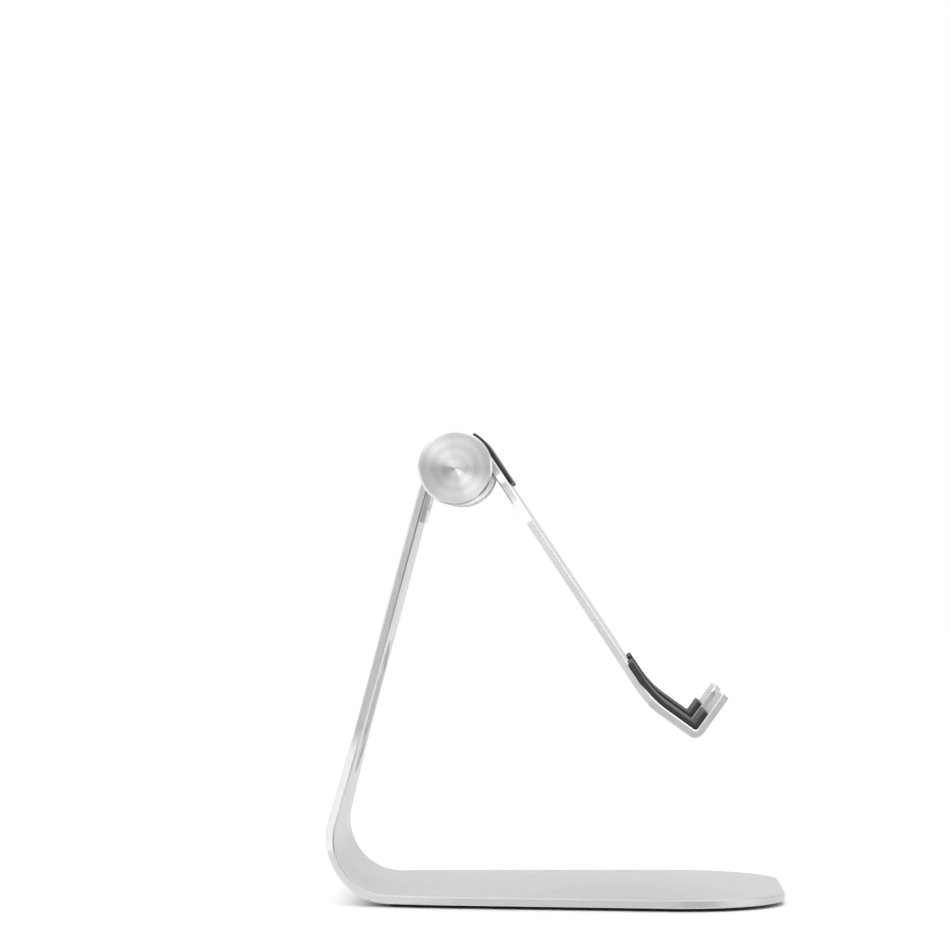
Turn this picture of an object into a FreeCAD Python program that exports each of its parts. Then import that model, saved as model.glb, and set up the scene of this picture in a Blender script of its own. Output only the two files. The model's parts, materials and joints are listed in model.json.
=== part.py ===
import FreeCAD, Part

import math
import os

import Sketcher

# A desk stand for a tablet.  A bent aluminium foot and upright carries a friction hinge, and the
# hinge carries a bent aluminium tray with two hooks that the tablet stands in.
#
# Frame: +X is the side the tablet faces, +Z is up and the hinge runs along Y.  The origin is under
# the middle of the stand, on the surface it stands on.  All lengths are in millimetres.

DIMENSIONS = (
    # Sheet metal
    ("plate_thickness", 2.5, "foot and tray plate"),
    ("rim_chamfer", 0.4, "bright cut along every rim of the two plates"),
    # Foot
    ("foot_pad_thickness", 1.0, "rubber sheet under the foot"),
    ("foot_pad_inset", 3.0, "from the rim of the foot to the rubber"),
    ("foot_pad_tail_inset", 5.5, "the same, beside the bend"),
    ("foot_front_x", 66.88, "straight front edge"),
    ("foot_front_half", 54.8, "half width of the foot, corners not yet rounded"),
    ("foot_corner_radius", 32.0, "front corners"),
    ("foot_rear_x", -34.0, "where the foot starts to narrow faster"),
    ("foot_rear_half", 46.3, "half width there"),
    ("foot_rear_radius", 80.0, "blend between the two tapers"),
    ("foot_tail_x", -74.0, "behind the bend"),
    ("foot_tail_half", 38.2, "half width there"),
    ("flare_blend_radius", 4.0, "blend of the foot's outline and the flare, on the bend"),
    # Bend and upright
    ("bend_x", -48.38, "centre of the bend between foot and upright"),
    ("bend_radius", 16.0, "inside of that bend"),
    ("lean", 14.6, "degrees that the upright leans forwards"),
    ("flare_foot_half", 45.7, "half width of the flare at its foot"),
    ("flare_foot_z", 4.0, "height of that place"),
    ("waist_half", 25.3, "half width where the flare ends"),
    ("waist_z", 47.5, "height of that place"),
    ("waist_radius", 25.0, "blend of flare and strip"),
    ("shoulder_half", 23.2, "half width under the hinge"),
    ("shoulder_z", 101.0, "height of that place"),
    ("shoulder_radius", 25.0, "blend of strip and its narrowed end"),
    ("crown_half", 19.2, "half width at the hinge"),
    ("crown_z", 124.0, "height of that place"),
    ("upright_end_drop", 8.05, "from the hinge axis down to that end"),
    ("cable_hole_width", 27.0, "opening in the upright"),
    ("cable_hole_length", 41.0, "the same, along the upright"),
    ("cable_hole_drop", 75.0, "from the hinge axis down to its middle"),
    # Hinge
    ("hinge_x", -29.95, "hinge axis"),
    ("hinge_z", 127.0, "hinge axis"),
    ("barrel_radius", 10.3, "all three knuckles"),
    ("centre_half", 13.0, "half length of the middle knuckle"),
    ("outer_start", 13.6, "inner end of the outer knuckles"),
    ("outer_end", 28.5, "outer end of the outer knuckles"),
    ("lug_half", 12.5, "half width of the lug on the middle knuckle"),
    ("lug_root", 5.5, "from the hinge axis to the lug's inner face"),
    ("tongue_length", 10.0, "tongue of the lug behind the upright"),
    ("tongue_thickness", 2.4, "the same"),
    ("tongue_half", 11.0, "half width of the tongue"),
    ("tongue_overlap", 1.0, "how far the tongue runs up into the lug"),
    ("rebate_depth", 1.2, "how far the tongue is let into the upright"),
    ("bush_bore_radius", 4.5, "bore of the middle knuckle"),
    ("bush_inner_radius", 3.03, "bore of the bushes"),
    ("bush_start", 0.6, "inner end of each bush"),
    ("bush_end", 12.9, "outer end of each bush"),
    ("shaft_radius", 3.0, "hinge bolt"),
    ("shaft_end", 28.1, "threaded end of the bolt, and its head's face"),
    ("shaft_chamfer", 0.5, "threaded end of the bolt"),
    ("head_radius", 5.2, "head of the bolt"),
    ("head_seat", 25.1, "inner face of the head"),
    ("nut_seat", 21.9, "face that the springs push on"),
    ("well_radius", 6.6, "wells in the outer knuckles for head and nut"),
    ("outer_bore_radius", 3.05, "bore of the outer knuckles"),
    ("washer_radius", 9.6, "washers between the knuckles"),
    ("washer_thickness", 0.5, "the same"),
    ("spring_washer_thickness", 0.6, "flat washer under the springs"),
    ("spring_radius", 5.8, "disc springs"),
    ("spring_thickness", 0.6, "the same"),
    ("spring_cone", 0.25, "free height of one disc's cone"),
    ("spring_gap", 0.02, "between the two discs"),
    ("nut_flats", 8.0, "across the flats of the lock nut"),
    ("nut_thickness", 3.2, "lock nut"),
    ("nut_gap", 0.1, "between the springs and the nut"),
    ("nut_bore_radius", 3.02, "bore of the nut, on the thread's outside"),
    ("pin_radius", 1.0, "pin that turns the bolt with the tray"),
    ("pin_length", 17.0, "the same"),
    ("pin_y", -18.3, "the same"),
    ("cap_radius", 10.9, "end caps"),
    ("cap_thickness", 2.0, "the same"),
    ("cap_chamfer", 0.6, "dark cut round each cap"),
    ("spigot_radius", 6.55, "ring that holds a cap in its well"),
    ("spigot_bore", 5.7, "the same"),
    ("spigot_length", 2.0, "the same"),
    # Tray
    ("tray_drop", 56.1, "degrees that the tray points below level"),
    ("tray_offset", 8.05, "from the hinge axis to the back of the tray"),
    ("tray_top", -0.5, "upper end of the tray, along it from the hinge axis"),
    ("tray_top_half", 28.5, "half width there"),
    ("tray_neck", 10.0, "where the tray starts to widen, past the end caps"),
    ("tray_shoulder", 20.0, "where it is nearly full width"),
    ("tray_shoulder_half", 39.5, "half width there"),
    ("tray_knee_half", 51.5, "half width at the knee"),
    ("tray_foot_half", 52.5, "half width at the hooks"),
    ("tray_neck_radius", 6.0, "blend at the neck"),
    ("tray_shoulder_radius", 16.0, "blend at the shoulder"),
    ("tray_notch_end", 7.2, "notch that clears the middle knuckle"),
    ("tray_notch_half", 13.8, "half width of that notch"),
    ("knee_distance", 87.3, "from the hinge axis down to the knee"),
    ("knee_turn", 20.6, "degrees that the knee bends forwards"),
    ("knee_radius", 30.0, "inside of the knee"),
    ("lower_length", 18.6, "from the knee to the hooks' corner"),
    ("hook_height", 15.5, "outside height of the hooks"),
    ("hook_inside_radius", 0.8, "inside of the hooks' corner"),
    ("hook_tip_radius", 3.0, "corners of the hooks' tips"),
    ("hook_gap_half", 16.5, "half width of the gap between the hooks"),
    ("hook_gap_floor", 11.0, "how far below the knee that gap starts"),
    ("hook_gap_radius", 3.0, "corners of the gap"),
    # Rubber on the tray
    ("upper_pad_thickness", 1.1, "rubber at the top of the tray"),
    ("upper_pad_half", 27.5, "half width of it"),
    ("upper_pad_end", 12.6, "lower end of it"),
    ("upper_pad_turn", 26.0, "degrees that it wraps over the hinge"),
    ("upper_pad_tail", 0.6, "straight end of the wrapped part"),
    ("rest_pad_thickness", 1.4, "rubber in the knee"),
    ("rest_pad_width", 33.0, "each of the two"),
    ("rest_pad_middle", 34.0, "from the middle plane to each one's middle"),
    ("rest_pad_start", 75.0, "upper end of them"),
    ("rest_pad_upstand", 4.5, "how far they climb the hooks"),
    ("rest_pad_corner", 1.0, "outer corner of them"),
    # Screws
    ("screw_radius", 1.25, "countersunk screws"),
    ("screw_hole_radius", 1.3, "the same"),
    ("screw_head_radius", 2.3, "the same"),
    ("screw_socket_radius", 0.9, "hexagon socket, over its corners"),
    ("screw_socket_depth", 0.8, "the same"),
    ("screw_sink_radius", 2.35, "countersinks at the face"),
    ("tap_play", 0.3, "tapped holes beyond the ends of the tray's screws"),
    ("tray_screw_length", 6.0, "screws of the tray"),
    ("tray_screw_place", 2.7, "down the tray from the hinge axis"),
    ("upright_screw_length", 3.5, "screws of the upright"),
    ("upright_screw_drop", 13.0, "down the upright from the hinge axis"),
    ("upright_screw_pitch", 7.5, "between neighbours"),
)
TRAY_SCREW_PLACES = (-20.4, -16.2, 16.2, 20.4)
UPRIGHT_SCREW_STEPS = (-1, 0, 1)
SOCKET_SIDES = 6
COUNTERSINK_ANGLE = 90
# Cutters: how long they are, how far out their outlines reach and how far they pass an edge.
CUTTER = "400"
OUTSIDE = "200"
PAST = "5"

# Places that follow from the driving sizes, written for the sheet.
FOOT_TOP = "(Sheet.foot_pad_thickness + Sheet.plate_thickness)"
OUTER_BEND_RADIUS = "(Sheet.bend_radius + Sheet.plate_thickness)"
BEND_Z = f"({FOOT_TOP} + Sheet.bend_radius)"
HALF_TURN = "((90 + Sheet.lean) / 2)"
UPRIGHT_INNER = (
    "((Sheet.hinge_x - Sheet.bend_x) * cos(Sheet.lean)"
    f" - (Sheet.hinge_z - {BEND_Z}) * sin(Sheet.lean) + Sheet.bend_radius)"
)
UPRIGHT_OUTER = f"({UPRIGHT_INNER} + Sheet.plate_thickness)"
TRAY_FRONT = "(Sheet.tray_offset + Sheet.plate_thickness)"
SCREW_HEAD_DEPTH = "(Sheet.screw_head_radius - Sheet.screw_radius)"
WASHER_MIDDLE = "((Sheet.centre_half + Sheet.outer_start) / 2)"
SPRING_START = "(Sheet.nut_seat + Sheet.spring_washer_thickness)"
SPRING_HEIGHT = "(Sheet.spring_thickness + Sheet.spring_cone)"
NUT_START = f"({SPRING_START} + 2 * {SPRING_HEIGHT} + Sheet.nut_gap)"

# Numbers of a sketch's parts, and the tolerance for picking out edges and faces.
ORIGIN = -1
START_POINT = 1
END_POINT = 2
CENTRE_POINT = 3
NEAR = 0.05
PARALLEL = 1e-4


def make_sheet(document):
    """Write the driving dimensions into the spreadsheet, one row each."""
    sheet = document.addObject("Spreadsheet::Sheet", "Sheet")
    for row, (alias, size, meaning) in enumerate(DIMENSIONS, start=1):
        sheet.set(f"A{row}", meaning)
        sheet.set(f"B{row}", str(size))
        sheet.setAlias(f"B{row}", alias)
    document.recompute()
    return sheet


def worth(text):
    """The value of an expression of the sheet."""
    return float(SHEET.evalExpression(text))


# ---------------------------------------------------------------- sketches and features


def bind(sketch, number, text):
    """Tie a constraint of a sketch to an expression of the sheet."""
    name = f"size_{number}"
    sketch.renameConstraint(number, name)
    sketch.setExpression(f"Constraints.{name}", text)


def hold_point(sketch, geometry, point, across, up):
    """Hold a point of a sketch at two expressions, measured from the sketch's origin."""
    for kind, text in (("DistanceX", across), ("DistanceY", up)):
        constraint = Sketcher.Constraint(kind, ORIGIN, START_POINT, geometry, point, worth(text))
        bind(sketch, sketch.addConstraint(constraint), text)


def draw_polygon(sketch, corners):
    """A closed outline of straight lines with its corners at expressions of the sheet."""
    first = sketch.GeometryCount
    points = [FreeCAD.Vector(worth(across), worth(up), 0) for across, up in corners]
    for start, end in zip(points, points[1:] + points[:1]):
        sketch.addGeometry(Part.LineSegment(start, end))
    for index, (across, up) in enumerate(corners):
        before = first + (index - 1) % len(corners)
        sketch.addConstraint(
            Sketcher.Constraint("Coincident", before, END_POINT, first + index, START_POINT)
        )
        hold_point(sketch, first + index, START_POINT, across, up)


def draw_circle(sketch, radius, across=None, up=None):
    """A circle, on the sketch's origin unless a place is given."""
    centre = FreeCAD.Vector(0, 0, 0)
    if across is not None:
        centre = FreeCAD.Vector(worth(across), worth(up), 0)
    circle = sketch.addGeometry(Part.Circle(centre, FreeCAD.Vector(0, 0, 1), worth(radius)))
    if across is None:
        sketch.addConstraint(
            Sketcher.Constraint("Coincident", circle, CENTRE_POINT, ORIGIN, START_POINT)
        )
    else:
        hold_point(sketch, circle, CENTRE_POINT, across, up)
    bind(sketch, sketch.addConstraint(Sketcher.Constraint("Radius", circle, worth(radius))), radius)


def draw_slot(sketch, width, length, up):
    """An upright slot with round ends, centred left to right."""
    radius = worth(width) / 2
    reach = worth(length) / 2 - radius
    middle = worth(up)
    top = FreeCAD.Vector(0, middle + reach, 0)
    bottom = FreeCAD.Vector(0, middle - reach, 0)
    normal = FreeCAD.Vector(0, 0, 1)
    first = sketch.addGeometry(Part.ArcOfCircle(Part.Circle(top, normal, radius), 0, math.pi))
    sketch.addGeometry(Part.LineSegment(top - FreeCAD.Vector(radius, 0, 0),
                                        bottom - FreeCAD.Vector(radius, 0, 0)))
    sketch.addGeometry(
        Part.ArcOfCircle(Part.Circle(bottom, normal, radius), math.pi, 2 * math.pi)
    )
    sketch.addGeometry(Part.LineSegment(bottom + FreeCAD.Vector(radius, 0, 0),
                                        top + FreeCAD.Vector(radius, 0, 0)))
    for index in range(4):
        following = first + (index + 1) % 4
        sketch.addConstraint(
            Sketcher.Constraint("Tangent", first + index, END_POINT, following, START_POINT)
        )
    bind(sketch, sketch.addConstraint(Sketcher.Constraint("Radius", first, radius)), f"{width} / 2")
    reach_text = f"({length} - {width}) / 2"
    hold_point(sketch, first, CENTRE_POINT, "0", f"{up} + {reach_text}")
    hold_point(sketch, first + 2, CENTRE_POINT, "0", f"{up} - {reach_text}")


def new_sketch(body, name, plane, shift=("0", "0", "0"), turn="0", about=(1, 0, 0)):
    """A sketch on one of the body's own planes, shifted and turned within that plane's axes."""
    sketch = body.newObject("Sketcher::SketchObject", name)
    support = [feature for feature in body.Origin.OriginFeatures if feature.Role == plane]
    sketch.AttachmentSupport = [(support[0], "")]
    sketch.MapMode = "FlatFace"
    rotation = FreeCAD.Rotation(FreeCAD.Vector(*about), worth(turn))
    sketch.AttachmentOffset = FreeCAD.Placement(FreeCAD.Vector(), rotation)
    for letter, text in zip("xyz", shift):
        sketch.setExpression(f"AttachmentOffset.Base.{letter}", text)
    if turn != "0":
        sketch.setExpression("AttachmentOffset.Rotation.Angle", turn)
    return sketch


def extrude(body, kind, sketch, length):
    """A Pad or a Pocket that reaches half its length to each side of its sketch."""
    feature = body.newObject(f"PartDesign::{kind}", f"{sketch.Name}_{kind}")
    feature.Profile = sketch
    feature.SideType = "Symmetric"
    feature.setExpression("Length", length)
    DOCUMENT.recompute()
    return feature


def revolve(body, sketch, axis):
    """A full turn of a sketch about one of the body's own axes."""
    feature = body.newObject("PartDesign::Revolution", f"{sketch.Name}_Revolution")
    feature.Profile = sketch
    turning = [line for line in body.Origin.OriginFeatures if line.Role == axis]
    feature.ReferenceAxis = (turning[0], [""])
    feature.Angle = 360
    DOCUMENT.recompute()
    return feature


def soften(body, kind, name, edges, size):
    """A Fillet or a Chamfer on the named edges of the body's tip."""
    base = body.Tip
    feature = body.newObject(f"PartDesign::{kind}", name)
    feature.Base = (base, edges)
    feature.setExpression("Radius" if kind == "Fillet" else "Size", size)
    DOCUMENT.recompute()
    return feature


def straight_edges(shape):
    """The name and the edge of each straight edge."""
    for number, edge in enumerate(shape.Edges, start=1):
        if edge.Curve.TypeId == "Part::GeomLine":
            yield f"Edge{number}", edge


def edges_at(shape, directed, places):
    """Names of the straight edges along a direction whose line passes one of the places."""
    names = []
    for name, edge in straight_edges(shape):
        if edge.Curve.Direction.cross(directed).Length < PARALLEL:
            offsets = [(edge.CenterOfMass - place).cross(directed).Length for place in places]
            if min(offsets) < NEAR:
                names.append(name)
    return names


def edges_between(shape, low, high):
    """Names of the straight edges that start and end above one height and below another."""
    return [name for name, edge in straight_edges(shape)
            if all(low + NEAR < vertex.Z < high for vertex in edge.Vertexes)]


def edges_in_plane(shape, directed, depth, across):
    """Names of the straight edges along a direction, at a depth measured along another."""
    return [name for name, edge in straight_edges(shape)
            if edge.Curve.Direction.cross(directed).Length < PARALLEL
            and abs(edge.CenterOfMass.dot(across) - depth) < NEAR]


def round_edges_at(shape, y):
    """Names of the edges that lie in one plane square to the hinge axis."""
    return [f"Edge{number}" for number, edge in enumerate(shape.Edges, start=1)
            if max(abs(edge.BoundBox.YMin - y), abs(edge.BoundBox.YMax - y)) < PARALLEL]


def is_skin(face, least_area=200):
    """Whether a face is part of the two broad sides of a plate bent about the Y direction."""
    surface = face.Surface
    if surface.TypeId == "Part::GeomPlane":
        return abs(surface.Axis.y) < PARALLEL and face.Area > least_area
    if surface.TypeId == "Part::GeomCylinder":
        return 1 - abs(surface.Axis.y) < PARALLEL
    return False


def rim_edges(shape):
    """Names of the edges where a broad side of a bent plate meets its rim."""
    skins = [face for face in shape.Faces if is_skin(face)]
    names = []
    for number, edge in enumerate(shape.Edges, start=1):
        owners = [face for face in skins if any(edge.isSame(other) for other in face.Edges)]
        if len(owners) == 1:
            names.append(f"Edge{number}")
    return names


def new_body(label):
    """An empty body whose label names its file."""
    body = DOCUMENT.addObject("PartDesign::Body", label)
    body.AllowCompound = True
    SUBPARTS.append(body)
    return body


def place_at_hinge(thing, turn="0", shift_y="0"):
    """Put a piece that was made about the hinge axis in its place, turned about that axis."""
    rotation = FreeCAD.Rotation(FreeCAD.Vector(0, 1, 0), worth(turn))
    thing.Placement = FreeCAD.Placement(FreeCAD.Vector(), rotation)
    thing.setExpression("Placement.Base.x", "Sheet.hinge_x")
    thing.setExpression("Placement.Base.y", shift_y)
    thing.setExpression("Placement.Base.z", "Sheet.hinge_z")
    if turn != "0":
        thing.setExpression("Placement.Rotation.Angle", turn)


def place_with_tray(thing, shift_y="0"):
    """Place a piece in the tray's frame: X runs down the tray and Z out of its front."""
    place_at_hinge(thing, "Sheet.tray_drop", shift_y)


def mirrored(corners):
    """The same outline on the other side of the sketch's upright axis."""
    return [(f"-({across})", up) for across, up in corners]


def tube(body, name, outer, inner, start, end):
    """A round sleeve along the hinge axis between two places on it."""
    sketch = new_sketch(body, name, "XZ_Plane", shift=("0", "0", f"-(({start}) + ({end})) / 2"))
    draw_circle(sketch, outer)
    if inner is not None:
        draw_circle(sketch, inner)
    return extrude(body, "Pad", sketch, f"abs(({end}) - ({start}))")


def bore(body, name, radius, start, end):
    """A round hole along the hinge axis between two places on it."""
    sketch = new_sketch(body, name, "XZ_Plane", shift=("0", "0", f"-(({start}) + ({end})) / 2"))
    draw_circle(sketch, radius)
    return extrude(body, "Pocket", sketch, f"abs(({end}) - ({start}))")


# ---------------------------------------------------------------- foot and upright


def make_foot_outline(sketch, inset="0"):
    """The foot seen from above."""
    draw_polygon(sketch, [
        (f"Sheet.foot_front_x - {inset}", f"-(Sheet.foot_front_half - {inset})"),
        (f"Sheet.foot_front_x - {inset}", f"Sheet.foot_front_half - {inset}"),
        ("Sheet.foot_rear_x", f"Sheet.foot_rear_half - {inset}"),
        ("Sheet.foot_tail_x", f"Sheet.foot_tail_half - {inset}"),
        ("Sheet.foot_tail_x", f"-(Sheet.foot_tail_half - {inset})"),
        ("Sheet.foot_rear_x", f"-(Sheet.foot_rear_half - {inset})"),
    ])


def round_foot_outline(body, inset="0"):
    """Round the corners of the foot's outline."""
    upwards = FreeCAD.Vector(0, 0, 1)
    gap = worth(inset)
    front_x = worth("Sheet.foot_front_x") - gap
    front_half = worth("Sheet.foot_front_half") - gap
    rear_x = worth("Sheet.foot_rear_x")
    rear_half = worth("Sheet.foot_rear_half") - gap
    front = [FreeCAD.Vector(front_x, side * front_half, 0) for side in (-1, 1)]
    rear = [FreeCAD.Vector(rear_x, side * rear_half, 0) for side in (-1, 1)]
    soften(body, "Fillet", f"{body.Name}_front_corners",
           edges_at(body.Tip.Shape, upwards, front), f"Sheet.foot_corner_radius - {inset}")
    soften(body, "Fillet", f"{body.Name}_rear_corners",
           edges_at(body.Tip.Shape, upwards, rear), "Sheet.foot_rear_radius")


def upright_point(inwards, drop):
    """A point of the leaning upright, as expressions of X and Z.

    inwards is how far in front of the hinge axis it lies, square to the upright, and drop how far
    down along the upright.
    """
    across = f"Sheet.hinge_x + ({inwards}) * cos(Sheet.lean) - ({drop}) * sin(Sheet.lean)"
    up = f"Sheet.hinge_z - ({inwards}) * sin(Sheet.lean) - ({drop}) * cos(Sheet.lean)"
    return across, up


def make_base_frame():
    """The foot and upright: one plate, bent once and cut to its outline."""
    body = new_body("base_frame")

    side = new_sketch(body, "bent_side", "XZ_Plane")
    draw_polygon(side, [
        ("Sheet.foot_front_x", "Sheet.foot_pad_thickness"),
        ("Sheet.foot_front_x", FOOT_TOP),
        (f"Sheet.bend_x - Sheet.bend_radius * tan({HALF_TURN})", FOOT_TOP),
        upright_point(f"-{UPRIGHT_INNER}", "Sheet.upright_end_drop"),
        upright_point(f"-{UPRIGHT_OUTER}", "Sheet.upright_end_drop"),
        (f"Sheet.bend_x - {OUTER_BEND_RADIUS} * tan({HALF_TURN})", "Sheet.foot_pad_thickness"),
    ])
    extrude(body, "Pad", side, f"2 * (Sheet.foot_front_half + {PAST})")

    along = FreeCAD.Vector(0, 1, 0)
    inner = FreeCAD.Vector(worth(f"Sheet.bend_x - Sheet.bend_radius * tan({HALF_TURN})"), 0,
                           worth(FOOT_TOP))
    outer = FreeCAD.Vector(worth(f"Sheet.bend_x - {OUTER_BEND_RADIUS} * tan({HALF_TURN})"), 0,
                           worth("Sheet.foot_pad_thickness"))
    soften(body, "Fillet", "bend_inside", edges_at(body.Tip.Shape, along, [inner]),
           "Sheet.bend_radius")
    soften(body, "Fillet", "bend_outside", edges_at(body.Tip.Shape, along, [outer]),
           OUTER_BEND_RADIUS)

    plan = new_sketch(body, "foot_outline", "XY_Plane")
    draw_polygon(plan, [(f"-{OUTSIDE}", f"-{OUTSIDE}"), (OUTSIDE, f"-{OUTSIDE}"),
                        (OUTSIDE, OUTSIDE), (f"-{OUTSIDE}", OUTSIDE)])
    make_foot_outline(plan)
    extrude(body, "Pocket", plan, CUTTER)

    flank = [
        ("Sheet.flare_foot_half", "Sheet.flare_foot_z"),
        ("Sheet.waist_half", "Sheet.waist_z"),
        ("Sheet.shoulder_half", "Sheet.shoulder_z"),
        ("Sheet.crown_half", "Sheet.crown_z"),
        (OUTSIDE, "Sheet.crown_z"),
        (OUTSIDE, "Sheet.flare_foot_z"),
    ]
    front = new_sketch(body, "upright_outline", "YZ_Plane")
    draw_polygon(front, flank)
    draw_polygon(front, mirrored(flank))
    extrude(body, "Pocket", front, CUTTER)

    round_foot_outline(body)
    forwards = FreeCAD.Vector(1, 0, 0)
    for place in ("waist", "shoulder"):
        half = worth(f"Sheet.{place}_half")
        height = worth(f"Sheet.{place}_z")
        corners = [FreeCAD.Vector(0, way * half, height) for way in (-1, 1)]
        soften(body, "Fillet", f"{place}_blend", edges_at(body.Tip.Shape, forwards, corners),
               f"Sheet.{place}_radius")

    soften(body, "Fillet", "flare_blend",
           edges_between(body.Tip.Shape, worth(FOOT_TOP), worth(BEND_Z)),
           "Sheet.flare_blend_radius")

    hole = new_sketch(body, "cable_hole", "YZ_Plane", turn="Sheet.lean",
                      shift=("0", "Sheet.hinge_z", "Sheet.hinge_x"))
    draw_slot(hole, "Sheet.cable_hole_width", "Sheet.cable_hole_length", "-Sheet.cable_hole_drop")
    extrude(body, "Pocket", hole, CUTTER)

    soften(body, "Chamfer", "bright_rims", rim_edges(body.Tip.Shape), "Sheet.rim_chamfer")

    rebate = new_sketch(body, "tongue_rebate", "XZ_Plane")
    top = f"Sheet.upright_end_drop - {PAST}"
    bottom = "Sheet.upright_end_drop + Sheet.tongue_length"
    draw_polygon(rebate, [
        upright_point(f"-{UPRIGHT_INNER} + {PAST}", top),
        upright_point(f"-{UPRIGHT_INNER} - Sheet.rebate_depth", top),
        upright_point(f"-{UPRIGHT_INNER} - Sheet.rebate_depth", bottom),
        upright_point(f"-{UPRIGHT_INNER} + {PAST}", bottom),
    ])
    extrude(body, "Pocket", rebate, "2 * Sheet.tongue_half")

    screws = new_sketch(body, "upright_screw_holes", "YZ_Plane", turn="Sheet.lean",
                        shift=("0", f"Sheet.hinge_z + {UPRIGHT_OUTER} * sin(Sheet.lean)",
                               f"Sheet.hinge_x - {UPRIGHT_OUTER} * cos(Sheet.lean)"))
    for step in UPRIGHT_SCREW_STEPS:
        draw_circle(screws, "Sheet.screw_hole_radius", f"{step} * Sheet.upright_screw_pitch",
                    "-Sheet.upright_screw_drop")
    make_countersunk_holes(body, screws, reverse=True)


def make_countersunk_holes(body, sketch, reverse):
    """Countersunk through holes at the circles of a sketch that lies on the face."""
    DOCUMENT.recompute()
    holes = body.newObject("PartDesign::Hole", f"{sketch.Name}_Hole")
    holes.Profile = sketch
    holes.Reversed = reverse
    holes.DepthType = "ThroughAll"
    holes.HoleCutType = "Countersink"
    holes.setExpression("Diameter", "2 * Sheet.screw_hole_radius")
    holes.setExpression("HoleCutDiameter", "2 * Sheet.screw_sink_radius")
    holes.HoleCutCountersinkAngle = COUNTERSINK_ANGLE
    DOCUMENT.recompute()


def make_foot_pad():
    """The rubber sheet glued under the foot."""
    body = new_body("foot_pad")
    plan = new_sketch(body, "rubber_outline", "XY_Plane",
                      shift=("0", "0", "Sheet.foot_pad_thickness / 2"))
    front_x = "Sheet.foot_front_x - Sheet.foot_pad_inset"
    front_half = "Sheet.foot_front_half - Sheet.foot_pad_inset"
    rear_half = "Sheet.foot_rear_half - Sheet.foot_pad_tail_inset"
    draw_polygon(plan, [
        (front_x, f"-({front_half})"),
        (front_x, front_half),
        ("Sheet.bend_x", rear_half),
        ("Sheet.bend_x", f"-({rear_half})"),
    ])
    extrude(body, "Pad", plan, "Sheet.foot_pad_thickness")
    corners = [FreeCAD.Vector(worth(front_x), side * worth(front_half), 0) for side in (-1, 1)]
    upwards = FreeCAD.Vector(0, 0, 1)
    soften(body, "Fillet", "rubber_front_corners", edges_at(body.Tip.Shape, upwards, corners),
           "Sheet.foot_corner_radius - Sheet.foot_pad_inset")
    tails = [FreeCAD.Vector(worth("Sheet.bend_x"), side * worth(rear_half), 0) for side in (-1, 1)]
    soften(body, "Fillet", "rubber_rear_corners", edges_at(body.Tip.Shape, upwards, tails),
           "Sheet.foot_pad_inset")


def make_base_knuckle():
    """The middle knuckle, with a lug that meets the upright's end and a tongue behind it.

    Its own frame has Z up along the upright and -X out through the upright's outer face.
    """
    body = new_body("base_knuckle")
    tube(body, "centre_barrel", "Sheet.barrel_radius", None, "-Sheet.centre_half",
         "Sheet.centre_half")
    lug = new_sketch(body, "lug_side", "XZ_Plane")
    draw_polygon(lug, [
        (f"-{UPRIGHT_OUTER}", "-Sheet.upright_end_drop"),
        ("-Sheet.lug_root", "-Sheet.upright_end_drop"),
        ("-Sheet.lug_root", "0"),
        (f"-{UPRIGHT_OUTER}", "0"),
    ])
    extrude(body, "Pad", lug, "2 * Sheet.lug_half")
    tongue = new_sketch(body, "tongue_side", "XZ_Plane")
    outer_face = f"-({UPRIGHT_INNER} + Sheet.rebate_depth)"
    inner_face = f"-({UPRIGHT_INNER} + Sheet.rebate_depth) + Sheet.tongue_thickness"
    bottom = "-(Sheet.upright_end_drop + Sheet.tongue_length)"
    draw_polygon(tongue, [
        (outer_face, bottom),
        (inner_face, bottom),
        (inner_face, "-Sheet.upright_end_drop + Sheet.tongue_overlap"),
        (outer_face, "-Sheet.upright_end_drop + Sheet.tongue_overlap"),
    ])
    extrude(body, "Pad", tongue, "2 * Sheet.tongue_half")
    bore(body, "bush_bore", "Sheet.bush_bore_radius", "-Sheet.outer_end", "Sheet.outer_end")
    taps = new_sketch(body, "tongue_tapped_holes", "YZ_Plane",
                      shift=("0", "0", f"-{UPRIGHT_INNER}"))
    for step in UPRIGHT_SCREW_STEPS:
        draw_circle(taps, "Sheet.screw_hole_radius", f"{step} * Sheet.upright_screw_pitch",
                    "-Sheet.upright_screw_drop")
    extrude(body, "Pocket", taps, "2 * Sheet.tongue_thickness")
    place_at_hinge(body, "Sheet.lean")


def make_friction_bushes():
    """Two sleeves pressed into the middle knuckle, which grip the bolt."""
    for name, side in (("left_friction_bush", -1), ("right_friction_bush", 1)):
        body = new_body(name)
        tube(body, f"{name}_ring", "Sheet.bush_bore_radius", "Sheet.bush_inner_radius",
             f"{side} * Sheet.bush_start", f"{side} * Sheet.bush_end")
        place_at_hinge(body)


# ---------------------------------------------------------------- hinge pieces that turn


def make_hinge_shaft():
    """The hinge bolt: a round head in the left knuckle and a thread in the right one."""
    body = new_body("hinge_shaft")
    tube(body, "shank", "Sheet.shaft_radius", None, "-Sheet.shaft_end", "Sheet.shaft_end")
    tube(body, "head", "Sheet.head_radius", None, "-Sheet.shaft_end", "-Sheet.head_seat")
    across = new_sketch(body, "pin_hole", "YZ_Plane")
    draw_circle(across, "Sheet.pin_radius", "Sheet.pin_y", "0")
    extrude(body, "Pocket", across, "4 * Sheet.shaft_radius")
    soften(body, "Chamfer", "thread_start",
           round_edges_at(body.Tip.Shape, worth("Sheet.shaft_end")), "Sheet.shaft_chamfer")
    place_with_tray(body)


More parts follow.
